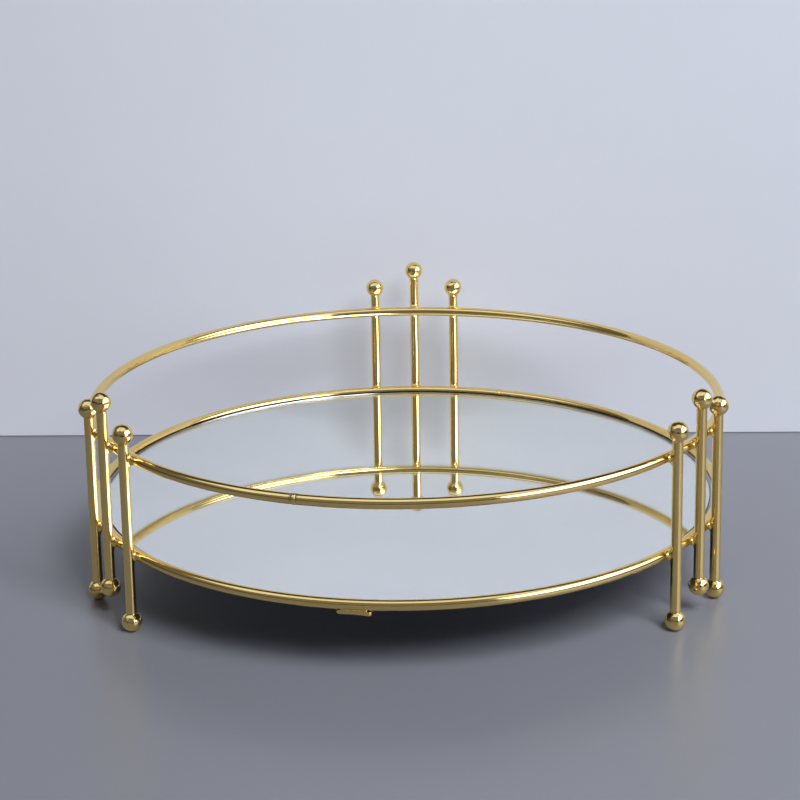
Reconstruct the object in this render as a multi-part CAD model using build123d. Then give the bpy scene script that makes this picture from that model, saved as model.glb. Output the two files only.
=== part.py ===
"""Round dresser vanity tray: a gallery of polished gold wire around a mirror.

Two equal wire rings are held one above the other by three groups of three
upright rods, brazed to the outside of the rings.  Every rod has a ball at each
end.  The middle rod of a group is as long as its neighbours and sits higher, so
that only the outer two rods of each group stand on the table.  A round mirror
lies inside the lower ring, bonded to three flat tabs under that ring.

Millimetres.  +Z is up, the origin is on the axis of the rings at the height of
the table top, and the front of the tray faces -Y.
"""
from build123d import *
import math
import os

# ------------------------------------------------------------ driving sizes
ring_radius = 140.0        # centreline of both wire rings
ring_wire = 4.5            # diameter of the wire in the rings
rod_wire = 4.5             # diameter of the upright rods
ball_diameter = 8.8        # balls at the ends of the rods

lower_ring_height = 33.2   # table to the centreline of the lower ring
ring_spacing = 42.5        # centreline to centreline of the two rings
outer_rod_rise = 11.6      # upper ring centreline to an outer rod's top ball centre
middle_rod_lift = 8.7      # how much higher the middle rod of a group sits
rod_pitch = 20.1           # between neighbouring rods of a group, centre to centre

braze_gap = 0.15           # film of braze between a rod and a ring
braze_radius = 3.1         # braze spot around the place where rod and ring cross
braze_depth = 1.2          # how far that spot reaches round each wire
collar_width = 0.5         # ring of braze around a rod where it meets its ball
seam_width = 1.7           # butt weld that closes a wire ring
seam_proud = 0.15          # how far that weld stands out of the wire
upper_seam_angle = 253.5   # where the upper ring is closed, degrees from +X
lower_seam_angle = 72.0    # where the lower ring is closed

glass_thickness = 2.0
glass_gap = 1.0            # between the mirror's edge and the inside of the ring
glass_edge_break = 0.3     # chamfer on the glass edge
backing_thickness = 0.1    # silver and paint behind the glass
backing_margin = 0.5       # strip at the glass edge without backing

tab_thickness = 1.6
tab_width = 14.3
tab_length = 17.5
tab_reach = 1.5            # how far a tab's outer end passes the ring centreline
tab_shift = -7.0           # from the middle of the span between two groups, degrees
tab_corner = 1.5           # rounding of the tab's corners
glue_thickness = 0.2
glue_inset = 1.0           # glue stops this far short of the tab's edges
tab_weld_start = 0.6       # tab weld, from the ring centreline outwards and inwards
tab_weld_end = 1.3
tab_weld_length = 11.0

# ------------------------------------------------------------ worked out
ring_wire_radius = ring_wire / 2
rod_radius = rod_wire / 2
ball_radius = ball_diameter / 2
upper_ring_height = lower_ring_height + ring_spacing
rod_circle = ring_radius + ring_wire_radius + braze_gap + rod_radius
rod_step = 2 * math.degrees(math.asin(rod_pitch / 2 / rod_circle))
ball_seat = math.sqrt(ball_radius**2 - rod_radius**2)
seat_latitude = math.degrees(math.asin(ball_seat / ball_radius))
outer_bottom_ball = ball_radius
outer_top_ball = upper_ring_height + outer_rod_rise
ring_inside = ring_radius - ring_wire_radius
glass_radius = ring_inside - glass_gap
tab_top = lower_ring_height - ring_wire_radius
backing_bottom = tab_top + glue_thickness
glass_bottom = backing_bottom + backing_thickness

# name of each group, its middle angle, and its rods in rising angle
GROUPS = {
    "back": (90.0, ("right", "middle", "left")),
    "left": (210.0, ("rear", "middle", "front")),
    "right": (330.0, ("front", "middle", "rear")),
}


def rods():
    """Every upright rod: its name, its angle and how much it is lifted."""
    for group, (middle_angle, places) in GROUPS.items():
        for step, place in zip((-1, 0, 1), places):
            lift = middle_rod_lift if place == "middle" else 0.0
            yield f"{group}_{place}", middle_angle + step * rod_step, lift


def at(angle, radius, height):
    """A place on a circle around the tray's axis, turned to face outwards."""
    return Rot(Z=angle) * Pos(radius, 0, height)


def ring_arc(wire_radius, height, start, sweep):
    """A stretch of round wire bent to the ring radius."""
    section = Plane.XZ * Pos(ring_radius, height) * Circle(wire_radius)
    return Rot(Z=start) * revolve(section, Axis.Z, sweep)


def ring_sweep(length):
    """The angle that a length along the ring's centreline takes."""
    return math.degrees(length / ring_radius)


# ------------------------------------------------------------ wire frame
def make_ring(height, seam_angle):
    """A wire ring, open by the width of its butt weld."""
    opening = ring_sweep(seam_width)
    return ring_arc(ring_wire_radius, height, seam_angle + opening / 2, 360 - opening)


def make_seam_weld(height, seam_angle):
    """The slightly proud butt weld that closes a ring."""
    width = ring_sweep(seam_width)
    return ring_arc(ring_wire_radius + seam_proud, height, seam_angle - width / 2, width)


def make_rod(angle, lift):
    """An upright rod between the flats of its two balls."""
    bottom = outer_bottom_ball + ball_seat + lift
    top = outer_top_ball - ball_seat + lift
    return at(angle, rod_circle, (bottom + top) / 2) * Cylinder(rod_radius, top - bottom)


def make_top_ball(angle, lift):
    """A ball with a flat underneath for the rod's end."""
    ball = Sphere(ball_radius, arc_size1=-seat_latitude, arc_size2=90, align=Align.NONE)
    return at(angle, rod_circle, outer_top_ball + lift) * ball


def make_bottom_ball(angle, lift):
    """A ball with a flat on top for the rod's end."""
    ball = Sphere(ball_radius, arc_size1=-90, arc_size2=seat_latitude, align=Align.NONE)
    return at(angle, rod_circle, outer_bottom_ball + lift) * ball


def make_collar(upwards):
    """Braze in the corner between a rod and its ball, around the rod's axis.

    Drawn for a ball centred on the origin, with the rod leaving along +Z when
    upwards is +1 and along -Z when it is -1.
    """
    outer = rod_radius + collar_width
    on_ball = math.sqrt(ball_radius**2 - outer**2)
    middle_latitude = (math.asin(ball_seat / ball_radius) + math.asin(on_ball / ball_radius)) / 2
    seat = (rod_radius, upwards * ball_seat)
    rim = (outer, upwards * on_ball)
    tip = (rod_radius, upwards * (ball_seat + collar_width))
    halfway = (
        ball_radius * math.cos(middle_latitude),
        upwards * ball_radius * math.sin(middle_latitude),
    )
    outline = Wire([ThreePointArc(seat, halfway, rim), Line(rim, tip), Line(tip, seat)])
    return revolve(Plane.XZ * make_face(outline), Axis.Z)


def make_ring_braze(angle, height):
    """Braze spot between a rod and the ring that it crosses."""
    spot = Cylinder(braze_radius, 2 * braze_depth + braze_gap)
    spot = fillet(spot.edges(), braze_depth * 0.6)
    middle = ring_radius + ring_wire_radius + braze_gap / 2
    spot = at(angle, middle, height) * Rot(Y=90) * spot
    rod = at(angle, rod_circle, height) * Cylinder(rod_radius, 4 * braze_radius)
    reach = ring_sweep(4 * braze_radius)
    ring = ring_arc(ring_wire_radius, height, angle - reach / 2, reach)
    return spot - rod - ring


# ------------------------------------------------------------ mirror
def make_glass():
    """The round plate of glass, its edges broken."""
    plate = Pos(0, 0, glass_bottom + glass_thickness / 2) * Cylinder(glass_radius, glass_thickness)
    return chamfer(plate.edges().filter_by(GeomType.CIRCLE), glass_edge_break)


def make_backing():
    """Silver and paint on the underside of the glass."""
    height = backing_bottom + backing_thickness / 2
    return Pos(0, 0, height) * Cylinder(glass_radius - backing_margin, backing_thickness)


def tab_angles():
    """The three tabs, one in each span between two groups of rods."""
    return {
        "front": 270.0 + tab_shift,
        "right": 30.0 + tab_shift,
        "left": 150.0 + tab_shift,
    }


def make_tab(angle):
    """A flat strip under the lower ring, reaching in under the mirror."""
    strip = Box(tab_length, tab_width, tab_thickness)
    strip = fillet(strip.edges().filter_by(Axis.Z), tab_corner)
    middle = ring_radius + tab_reach - tab_length / 2
    return at(angle, middle, tab_top - tab_thickness / 2) * strip


def make_glue(angle):
    """Clear glue between a tab and the mirror's back."""
    inner = ring_radius + tab_reach - tab_length + glue_inset
    outer = glass_radius - backing_margin - glue_inset
    pad = Box(outer - inner, tab_width - 2 * glue_inset, glue_thickness)
    return at(angle, (inner + outer) / 2, tab_top + glue_thickness / 2) * pad


def make_tab_weld(angle, side):
    """Weld in the corner between the ring's underside and a tab.

    side is +1 for the outer corner and -1 for the inner one.
    """
    near = ring_radius + side * tab_weld_start
    far = ring_radius + side * tab_weld_end
    section = Pos((near + far) / 2, tab_top + ring_wire_radius / 2) * Rectangle(
        abs(far - near), ring_wire_radius
    )
    sweep = ring_sweep(tab_weld_length)
    start = angle - sweep / 2
    block = Rot(Z=start) * revolve(Plane.XZ * section, Axis.Z, sweep)
    wire = ring_arc(ring_wire_radius, lower_ring_height, start - 1, sweep + 2)
    pieces = (block - wire).solids().sort_by(Axis.Z)
    return pieces[0]


# ------------------------------------------------------------ nodes
def make_nodes():
    """Every node of the tray: its name and its shape."""
    nodes = {
        "upper_ring": make_ring(upper_ring_height, upper_seam_angle),
        "lower_ring": make_ring(lower_ring_height, lower_seam_angle),
        "upper_ring_seam_weld": make_seam_weld(upper_ring_height, upper_seam_angle),
        "lower_ring_seam_weld": make_seam_weld(lower_ring_height, lower_seam_angle),
        "mirror_glass": make_glass(),
        "mirror_backing": make_backing(),
    }
    for name, angle, lift in rods():
        nodes[f"{name}_rod"] = make_rod(angle, lift)
        nodes[f"{name}_top_ball"] = make_top_ball(angle, lift)
        nodes[f"{name}_bottom_ball"] = make_bottom_ball(angle, lift)
    for name, angle in tab_angles().items():
        nodes[f"{name}_mirror_tab"] = make_tab(angle)
        nodes[f"{name}_glue_pad"] = make_glue(angle)
        welds = [make_tab_weld(angle, side) for side in (1, -1)]
        nodes[f"{name}_tab_welds"] = Compound(children=welds)

    ring_heights = {"upper": upper_ring_height, "lower": lower_ring_height}
    for group in GROUPS:
        members = [(angle, lift) for name, angle, lift in rods() if name.startswith(group)]
        for ring_name, height in ring_heights.items():
            spots = [make_ring_braze(angle, height) for angle, _ in members]
            nodes[f"{group}_{ring_name}_ring_braze"] = Compound(children=spots)
        for end, height, upwards in (("top", outer_top_ball, -1), ("bottom", outer_bottom_ball, 1)):
            collars = [
                at(angle, rod_circle, height + lift) * make_collar(upwards)
                for angle, lift in members
            ]
            nodes[f"{group}_{end}_ball_collars"] = Compound(children=collars)
    return nodes


os.makedirs("parts", exist_ok=True)
for node_name, shape in make_nodes().items():
    export_step(shape, f"parts/{node_name}.step")
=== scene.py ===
import math

import bpy
import numpy as np
from bpy.props import FloatProperty, FloatVectorProperty, IntProperty, PointerProperty
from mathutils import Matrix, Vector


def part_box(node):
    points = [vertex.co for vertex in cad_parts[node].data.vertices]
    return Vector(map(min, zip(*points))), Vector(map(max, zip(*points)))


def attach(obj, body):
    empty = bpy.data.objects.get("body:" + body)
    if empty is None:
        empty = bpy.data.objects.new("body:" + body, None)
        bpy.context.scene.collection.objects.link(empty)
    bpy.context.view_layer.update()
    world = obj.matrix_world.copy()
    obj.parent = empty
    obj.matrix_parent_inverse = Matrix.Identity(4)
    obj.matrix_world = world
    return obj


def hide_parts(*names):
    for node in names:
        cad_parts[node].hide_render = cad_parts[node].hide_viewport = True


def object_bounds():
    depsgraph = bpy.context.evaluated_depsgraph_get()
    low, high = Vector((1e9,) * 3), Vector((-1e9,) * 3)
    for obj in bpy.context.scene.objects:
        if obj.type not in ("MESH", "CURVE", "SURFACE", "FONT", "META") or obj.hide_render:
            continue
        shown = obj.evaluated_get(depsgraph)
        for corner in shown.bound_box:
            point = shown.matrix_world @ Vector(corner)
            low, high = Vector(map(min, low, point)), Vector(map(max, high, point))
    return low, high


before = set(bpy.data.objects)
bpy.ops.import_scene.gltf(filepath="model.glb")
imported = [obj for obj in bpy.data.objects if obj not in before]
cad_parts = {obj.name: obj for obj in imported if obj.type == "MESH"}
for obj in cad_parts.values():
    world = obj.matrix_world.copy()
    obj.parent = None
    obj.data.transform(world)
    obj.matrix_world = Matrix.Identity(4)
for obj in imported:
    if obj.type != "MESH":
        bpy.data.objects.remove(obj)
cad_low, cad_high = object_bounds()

bl_info = {
    "name": "Wire gallery vanity tray",
    "version": (1, 0, 0),
    "blender": (4, 5, 0),
    "location": "3D View > Sidebar > Vanity tray",
    "description": "Finishes a round vanity tray: gold-plated wire, brazed joints and a bonded mirror",
    "category": "Object",
}

MM = 0.001
BODY = "root"

# name of each group of rods and the places of its rods in rising angle
GROUPS = {
    "back": ("right", "middle", "left"),
    "left": ("rear", "middle", "front"),
    "right": ("front", "middle", "rear"),
}
RODS = [f"{group}_{place}" for group, places in GROUPS.items() for place in places]
# both ends of a rod, and the way from the ball's centre to the rod
ROD_ENDS = (("top", -1), ("bottom", 1))
TABS = ("front", "right", "left")

# how far the heat of each kind of joint shows in the plating around it
CROSSING_HEAT = 4.5 * MM
ROD_END_HEAT = 2.6 * MM
BALL_SEAT_HEAT = 2.7 * MM
TAB_HEAT = 3.5 * MM
SEAM_WARMTH = 0.2          # of a ring's butt weld, where 1 is a braze spot
# how strongly painted shade darkens the groove beside each ring's butt weld
SEAM_PAINTED_SHADE = {"upper": 1.0, "lower": 0.1}

TAB_CORNER = 1.5 * MM      # rounding of the tabs' corners
SILVER_THICKNESS = 0.02 * MM
PAINT_EDGE = 0.03 * MM     # rounding of the paint's lower edge
PLATE_SIDES = 512          # points around the mirror
QUARTER = math.pi / 2


# ------------------------------------------------------------ the frame's places
def low_and_high(node):
    """The lowest and highest corner of a CAD node, as arrays."""
    low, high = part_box(node)
    return np.array(low), np.array(high)


def middle_of(node):
    """The middle of a CAD node's box."""
    low, high = low_and_high(node)
    return (low + high) / 2


def angle_of(node):
    """The angle of a CAD node's middle around the tray's axis."""
    x, y, _ = middle_of(node)
    return math.atan2(y, x)


def tenth_of_mm(value):
    """A length rounded to a tenth of a millimetre."""
    return round(float(value), 4)


RING_LOW, RING_HIGH = low_and_high("upper_ring")
RING_WIRE = tenth_of_mm(RING_HIGH[2] - RING_LOW[2])
RING_RADIUS = tenth_of_mm((RING_HIGH[0] - RING_LOW[0] - RING_WIRE) / 2)
RING_HEIGHTS = {name: float(middle_of(f"{name}_ring")[2]) for name in ("upper", "lower")}
ROD_LOW, ROD_HIGH = low_and_high("back_middle_rod")
ROD_WIRE = tenth_of_mm(ROD_HIGH[0] - ROD_LOW[0])
BALL_LOW, BALL_HIGH = low_and_high("back_middle_top_ball")
BALL_RADIUS = tenth_of_mm(BALL_HIGH[0] - BALL_LOW[0]) / 2
BALL_SEAT = math.sqrt(BALL_RADIUS**2 - (ROD_WIRE / 2) ** 2)  # from a ball's centre to its rod
GLASS_LOW, GLASS_HIGH = low_and_high("mirror_glass")
BACKING_LOW, BACKING_HIGH = low_and_high("mirror_backing")
TAB_THICKNESS = tenth_of_mm(np.ptp([corner[2] for corner in low_and_high("front_mirror_tab")]))


def rod_axis(rod):
    """Where a rod's axis stands: x and y of the rod's middle."""
    return middle_of(f"{rod}_rod")[:2]


def ball_centre(rod, end, rod_way):
    """The centre of a ball: one radius from its free tip, towards the rod."""
    low, high = low_and_high(f"{rod}_{end}_ball")
    tip = high[2] if end == "top" else low[2]
    return np.array([*rod_axis(rod), tip + rod_way * BALL_RADIUS])


def crossings():
    """Where every rod crosses each ring, between the two wires."""
    found = []
    for rod in RODS:
        x, y = rod_axis(rod)
        away = math.hypot(x, y)
        contact = (RING_RADIUS + RING_WIRE / 2 + away - ROD_WIRE / 2) / 2
        found += [(x / away * contact, y / away * contact, z) for z in RING_HEIGHTS.values()]
    return np.array(found)


def seam_width(name):
    """Length of a ring's butt weld along the wire, from its box: across the
    tray the box also holds the wire's own thickness.
    """
    low, high = low_and_high(f"{name}_ring_seam_weld")
    x, y, _ = (low + high) / 2
    tangent = np.abs([y, x]) / math.hypot(x, y)
    radial = tangent[::-1]
    wire = high[2] - low[2]
    return float(((high - low)[:2] - radial * wire) @ tangent)


def tab_size(node, angle):
    """Length and width of a turned strip, from its box: length |cos| + width |sin|
    in x, and the other way round in y, less what the rounded corners take off.
    """
    low, high = low_and_high(node)
    c, s = abs(math.cos(angle)), abs(math.sin(angle))
    span = (high - low)[:2] - 2 * TAB_CORNER * (1 - c - s)
    return np.linalg.solve([[c, s], [s, c]], span)


def axes_at(angle):
    """Unit vectors that point outwards and sideways at an angle around the tray."""
    c, s = math.cos(angle), math.sin(angle)
    return np.array([c, s, 0]), np.array([-s, c, 0])


# ------------------------------------------------------------ settings
def a_length(name, description, value):
    """A length that the user can change."""
    return FloatProperty(
        name=name, description=description, default=value, unit="LENGTH", subtype="DISTANCE")


def an_angle(name, description, value):
    """An angle that the user can change."""
    return FloatProperty(
        name=name, description=description, default=value, unit="ROTATION", subtype="ANGLE")


def a_colour(name, description, value, brightest=1):
    """A colour that the user can change."""
    return FloatVectorProperty(
        name=name, description=description, default=value, size=3, min=0, max=brightest,
        subtype="COLOR")


def a_power(name, description, value):
    """A lamp's power that the user can change."""
    return FloatProperty(name=name, description=description, default=value, unit="POWER")


def a_count(name, description, value, fewest):
    """A number of steps or of details that the user can change."""
    return IntProperty(name=name, description=description, default=value, min=fewest)


class TrayShape(bpy.types.PropertyGroup):
    """Sizes of the finished surfaces."""

    ring_steps: a_count("Ring steps", "Sections along a wire ring", 900, 48)
    wire_sides: a_count("Wire sides", "Points around a wire", 40, 12)
    ball_sides: a_count("Ball sides", "Points around a ball", 72, 16)
    dents: a_count("Dents", "Shallow dents on each ball", 26, 0)
    dent_depth: a_length("Dent depth", "Depth of the deepest dents", 0.09 * MM)
    dent_width: an_angle("Dent width", "Half width of a dent, seen from the ball's centre", 0.27)
    end_round: a_length(
        "Wire end rounding", "How far a wire end is worn round beside its weld", 0.42 * MM)
    groove: a_length("Seam groove", "Depth of the groove beside a ring's butt weld", 0.32 * MM)
    seam_proud: a_length("Seam height", "How far the butt weld stands out of the wire", 0.12 * MM)
    braze_along: a_length("Braze reach", "How far a braze fillet runs along each wire", 4.3 * MM)
    braze_around: an_angle(
        "Braze wrap", "How far a braze fillet wraps around each wire", math.radians(74))
    braze_sunk: a_length("Braze edge", "How far a fillet's edge sinks into the wire", 0.02 * MM)
    collar_rise: a_length("Collar rise", "How far the braze at a ball climbs its rod", 0.55 * MM)
    collar_spread: a_length("Collar spread", "How far the braze at a ball spreads on it", 0.5 * MM)
    glass_round: a_length("Glass edge", "Rounding of the ground glass edge", 0.35 * MM)
    tab_round: a_length("Tab edge", "Rounding of the tabs' sheared edges", 0.35 * MM)
    tab_bend: a_length("Tab bend", "How far the far corner of a tab is bent down", 0.6 * MM)
    bead_reach: a_length("Bead reach", "Half the length of a tab's weld bead", 5.5 * MM)
    bead_radius: a_length("Bead radius", "Thickness of a tab's weld bead", 0.75 * MM)
    pad_length: a_length("Glue length", "Half the length of a pad of glue", 6.6 * MM)
    pad_width: a_length("Glue width", "Half the width of a pad of glue", 5.6 * MM)


class TrayFinish(bpy.types.PropertyGroup):
    """Colours and polish."""

    gold: a_colour("Gold", "Polished pale gold plating", (0.94, 0.68, 0.25))
    gold_shade: a_colour("Gold shade", "Thinner or hazier plating", (0.87, 0.61, 0.21))
    gold_deep: a_colour("Deep gold", "Plating over braze, a little deeper", (0.91, 0.63, 0.20))
    silver: a_colour("Silver", "Silver behind the glass", (0.965, 0.975, 0.965))
    glass: a_colour("Glass", "Clear float glass", (0.995, 1.0, 0.998))
    glass_green: a_colour(
        "Glass green", "Colour of the glass seen through its edge", (0.45, 0.80, 0.66))
    paint: a_colour("Backing paint", "Paint behind the silver", (0.20, 0.215, 0.225))
    glue: a_colour("Glue", "Cured clear silicone", (0.78, 0.80, 0.78))
    polish: FloatProperty(
        name="Polish", description="Roughness of the cleanest plating",
        default=0.055, min=0, max=1, subtype="FACTOR")


class TrayStudio(bpy.types.PropertyGroup):
    """Floor, backdrop, lamps and camera."""

    floor: a_colour("Floor", "Plain pale floor", (0.335, 0.338, 0.366))
    wall: a_colour("Backdrop", "Plain pale backdrop board", (0.675, 0.685, 0.73))
    wall_gap: a_length("Backdrop gap", "From the back balls to the backdrop", 18 * MM)
    wall_glow: FloatProperty(
        name="Backdrop light", description="Light that the backdrop board gives off",
        default=0.21, min=0)
    lamp_colour: a_colour("Lamp colour", "Cool white of the key lamp", (0.93, 0.98, 1.08), 2)
    glint_colour: a_colour(
        "Glint colour", "Cool white of the lamps that polished metal shows",
        (0.88, 0.98, 1.26), 2)
    key_lamp: a_power("Key lamp", "Power of the lamp that lights only matt surfaces", 29.5)
    top_lamp: a_power("Top lamp", "Power of the large overhead lamp, seen in polish", 7.4)
    side_lamp: a_power("Side lamp", "Power of the lamp at the right, seen in polish", 18.5)
    room: FloatProperty(
        name="Room", description="Strength of the dim room around the set", default=1.0, min=0)
    camera_place: FloatVectorProperty(
        name="Camera place", description="Where the camera stands", subtype="TRANSLATION",
        size=3, unit="LENGTH", default=(0.03233, -0.93706, 0.37411))
    camera_down: an_angle("Camera down", "How far the camera looks down", math.radians(14.864))
    camera_left: an_angle("Camera left", "How far the camera is turned left", math.radians(2.091))
    camera_roll: an_angle("Camera roll", "How far the camera is rolled", math.radians(0.959))
    camera_lens: FloatProperty(
        name="Lens", description="Focal length in millimetres", default=98.11)
    camera_shift: FloatProperty(
        name="Shift", description="Vertical lens shift", default=-0.14)


# ------------------------------------------------------------ meshes
def grid_faces(rows, columns, closed_rows, poles):
    """Faces of a grid of rows by columns whose columns close into a ring.

    Vertex numbers run along the rows.  With poles, the first and the last row
    are one vertex each, so the faces beside them are triangles.  Every other
    cell is one quad.  A grid with closed rows joins its last row to its first.
    """
    index = np.arange(rows * columns).reshape(rows, columns)
    if poles:
        index = index - (columns - 1)
        index[0] = 0
        index[-1] = index[-1, 0]
    if closed_rows:
        index = np.vstack([index, index[:1]])
    here, along = index[:-1], index[1:]
    quads = np.stack([here, np.roll(here, -1, 1), np.roll(along, -1, 1), along], axis=-1)
    if not poles:
        return quads.reshape(-1, 4), np.empty((0, 3), int)
    fans = np.vstack([quads[0][:, [0, 2, 3]], quads[-1][:, [0, 1, 2]]])
    return quads[1:-1].reshape(-1, 4), fans


def kept_points(stack, poles):
    """The points of a stack of like grids as one list, each pole once."""
    width = 1 if stack.ndim == 3 else stack.shape[3]
    grids = stack.reshape(*stack.shape[:3], width)
    if poles:
        body = grids[:, 1:-1].reshape(len(grids), -1, width)
        grids = np.concatenate([grids[:, :1, 0], body, grids[:, -1:, 0]], axis=1)
    return grids.reshape(-1, width)


def surface(name, grid, closed_rows=False, poles=True, values=None, flat=False):
    """A mesh object from a grid of points whose columns close into a ring, or
    from a stack of like grids.

    With poles, the first and last rows hold one and the same point each.
    values holds named numbers or vectors for every point.
    """
    stack = grid if grid.ndim == 4 else grid[None]
    quads, fans = grid_faces(*stack.shape[1:3], closed_rows, poles)
    points = kept_points(stack, poles)
    faces = []
    for first in range(0, len(points), len(points) // len(stack)):
        faces += (quads + first).tolist() + (fans + first).tolist()
    mesh = bpy.data.meshes.new(name)
    mesh.from_pydata(points.tolist(), [], faces)
    mesh.polygons.foreach_set("use_smooth", np.full(len(mesh.polygons), not flat))
    for key, array in (values or {}).items():
        number = array.ndim == grid.ndim - 1
        made = mesh.attributes.new(key, "FLOAT" if number else "FLOAT_VECTOR", "POINT")
        kept = kept_points(array if grid.ndim == 4 else array[None], poles)
        made.data.foreach_set("value" if number else "vector", kept.astype(np.float32).ravel())
    mesh.update()
    made = bpy.data.objects.new(name, mesh)
    bpy.context.scene.collection.objects.link(made)
    return made


def finish_piece(piece, material, slot, *nodes):
    """Gives a piece its material and its body, and hides the nodes it stands for; the slot is not
    used.
    """
    piece.data.materials.append(material)
    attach(piece, BODY)
    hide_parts(*nodes)
    return piece


def weld_piece(node, grids, closed_rows=False, poles=True):
    """One piece of braze or weld metal from several like grids."""
    stack = np.stack(grids)
    piece = surface(f"{node}_finished", stack, closed_rows, poles,
                    {"joint_warmth": np.ones(stack.shape[:3])})
    return finish_piece(piece, weld_gold(), "plated_weld", node)


def around(sides):
    """Angles of the points around a section."""
    return np.linspace(0, 2 * math.pi, sides, endpoint=False)


def capped(values, end=None):
    """Values along a wire with one more at each end: the given one, or the last again."""
    first, last = (values[:1], values[-1:]) if end is None else ([end], [end])
    return np.concatenate([first, values, last])


def turned(radii, heights, centre, sides):
    """A turned shape: every profile point, at a radius and a height, goes once
    around the upright axis through centre.

    The point at angle a is centre + (radius cos a, radius sin a, height).
    """
    turn = around(sides)
    x = centre[0] + radii[:, None] * np.cos(turn)
    y = centre[1] + radii[:, None] * np.sin(turn)
    z = centre[2] + heights[:, None] + 0 * turn
    return np.stack([x, y, z], axis=-1)


def ring_wire_grid(angles, wire_radii, height, sides, ring_radius=RING_RADIUS, squeeze=1.0):
    """A wire bent to a ring: at ring angle a and section angle s the point lies
    at radius R + w cos s from the tray's axis and height h + q w sin s, where w
    is the wire's own radius at a and q is how much the section is squeezed.
    """
    turn = around(sides)
    out = ring_radius + wire_radii[:, None] * np.cos(turn)
    x = out * np.cos(angles)[:, None]
    y = out * np.sin(angles)[:, None]
    z = height + squeeze * wire_radii[:, None] * np.sin(turn)
    return np.stack([x, y, z], axis=-1)[:, ::-1]


def laid_at(node, angle, flat, height):
    """Points of a flat shape, carried to a node's middle and turned outwards:
    the middle + first outwards + second sideways + height upwards.
    """
    middle = middle_of(node)
    out, side = axes_at(angle)
    xy = middle[:2] + flat[..., :1] * out[:2] + flat[..., 1:] * side[:2]
    return np.concatenate([xy, (middle[2] + height)[..., None]], axis=-1)


def lines_along(radius, length, sides):
    """Coordinates that follow a wire: around its section and along its length.

    They close around the section, so that a pattern on them has no seam.
    """
    turn = around(sides)
    x = radius * np.cos(turn) + 0 * length[:, None]
    y = radius * np.sin(turn) + 0 * length[:, None]
    z = length[:, None] + 0 * turn
    return np.stack([x, y, z], axis=-1)


def upper_side(sides):
    """How much of each point around a wire lies on its upper side, which takes the groove's painted
    shade.
    """
    return np.clip(0.6 + np.sin(around(sides)), 0, 1)


def warmth(grid, places, reach):
    """How warm the metal ran: 1 at the nearest joint, falling off as a bell curve."""
    steps = grid[..., None, :] - np.asarray(places)
    distance = np.sqrt((steps**2).sum(axis=-1)).min(axis=-1)
    return np.exp(-((distance / reach) ** 2))


# ------------------------------------------------------------ shader building
def fill(tree, node, inputs):
    """Fills a node's inputs: each name or number maps to a value or to another
    node's output.
    """
    for key, value in inputs.items():
        if isinstance(value, bpy.types.NodeSocket):
            tree.links.new(value, node.inputs[key])
        else:
            node.inputs[key].default_value = value
    return node


def put(tree, kind, inputs=None, **settings):
    """Adds a shader node, sets its properties and fills its inputs."""
    made = tree.nodes.new(kind)
    for key, value in settings.items():
        setattr(made, key, value)
    return fill(tree, made, inputs or {})


def calculate(tree, operation, first, second=0.0, third=0.0, clamp=False):
    """One Math node's result."""
    inputs = {0: first, 1: second, 2: third}
    return put(tree, "ShaderNodeMath", inputs, operation=operation, use_clamp=clamp).outputs[0]


def times(tree, first, second, clamp=False):
    """The product of two values."""
    return calculate(tree, "MULTIPLY", first, second, clamp=clamp)


def add_share(tree, value, share, base, clamp=False):
    """A value times a share, added to a base."""
    return calculate(tree, "MULTIPLY_ADD", value, share, base, clamp)


def blend_colours(tree, factor, first, second):
    """One Mix node's colour."""
    node = put(tree, "ShaderNodeMix", data_type="RGBA", blend_type="MIX")
    number = {socket.name: n for n, socket in enumerate(node.inputs) if socket.enabled}
    fill(tree, node, {number["Factor"]: factor, number["A"]: first, number["B"]: second})
    return next(socket for socket in node.outputs if socket.enabled)


def spread(tree, value, low, high, to_low=0.0, to_high=1.0):
    """A value carried from one range to another and kept inside it."""
    return put(tree, "ShaderNodeMapRange", {
        "Value": value, "From Min": low, "From Max": high, "To Min": to_low, "To Max": to_high,
    }).outputs["Result"]


def clouds(tree, vector, scale, detail=3.0, roughness=0.55):
    """The value of a noise pattern."""
    return put(tree, "ShaderNodeTexNoise", {
        "Vector": vector, "Scale": scale, "Detail": detail, "Roughness": roughness,
    }).outputs["Fac"]


def cells(tree, vector, scale):
    """The distance to the nearest of many scattered points."""
    return put(tree, "ShaderNodeTexVoronoi", {"Vector": vector, "Scale": scale}).outputs["Distance"]


def stretched(tree, vector, scale):
    """A pattern's coordinates, scaled along each axis."""
    return put(tree, "ShaderNodeMapping", {"Vector": vector, "Scale": scale}).outputs[0]


def object_place(tree):
    """A point's place on its piece."""
    return put(tree, "ShaderNodeTexCoord").outputs["Object"]


def attribute(tree, name, output="Fac"):
    """One of the numbers or vectors that a piece holds for each point."""
    return put(tree, "ShaderNodeAttribute", attribute_name=name).outputs[output]


def bumps(tree, height, distance, strength=1.0):
    """The normal of a surface with fine relief."""
    return put(tree, "ShaderNodeBump", {
        "Strength": strength, "Distance": distance, "Height": height,
    }).outputs["Normal"]


def rgba(tone, share=1.0):
    """A colour, made darker or lighter by a share, as a socket takes it."""
    return (*(np.array(tone) * share), 1)


SOCKETS = {"colour": "NodeSocketColor", "value": "NodeSocketFloat", "vector": "NodeSocketVector"}


def new_group(name, inputs, outputs):
    """An empty shader node group whose named sockets map to their kinds."""
    tree = bpy.data.node_groups.new(name, "ShaderNodeTree")
    for way, sockets in (("INPUT", inputs), ("OUTPUT", outputs)):
        for label, kind in sockets.items():
            tree.interface.new_socket(name=label, in_out=way, socket_type=SOCKETS[kind])
    given = tree.nodes.new("NodeGroupInput").outputs
    return tree, given, tree.nodes.new("NodeGroupOutput")


def place_group(tree, name, make, values):
    """Places a node group, made the first time that it is needed, with its values."""
    group = bpy.data.node_groups.get(name) or make(name)
    return put(tree, "ShaderNodeGroup", values, node_tree=group).outputs


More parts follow.
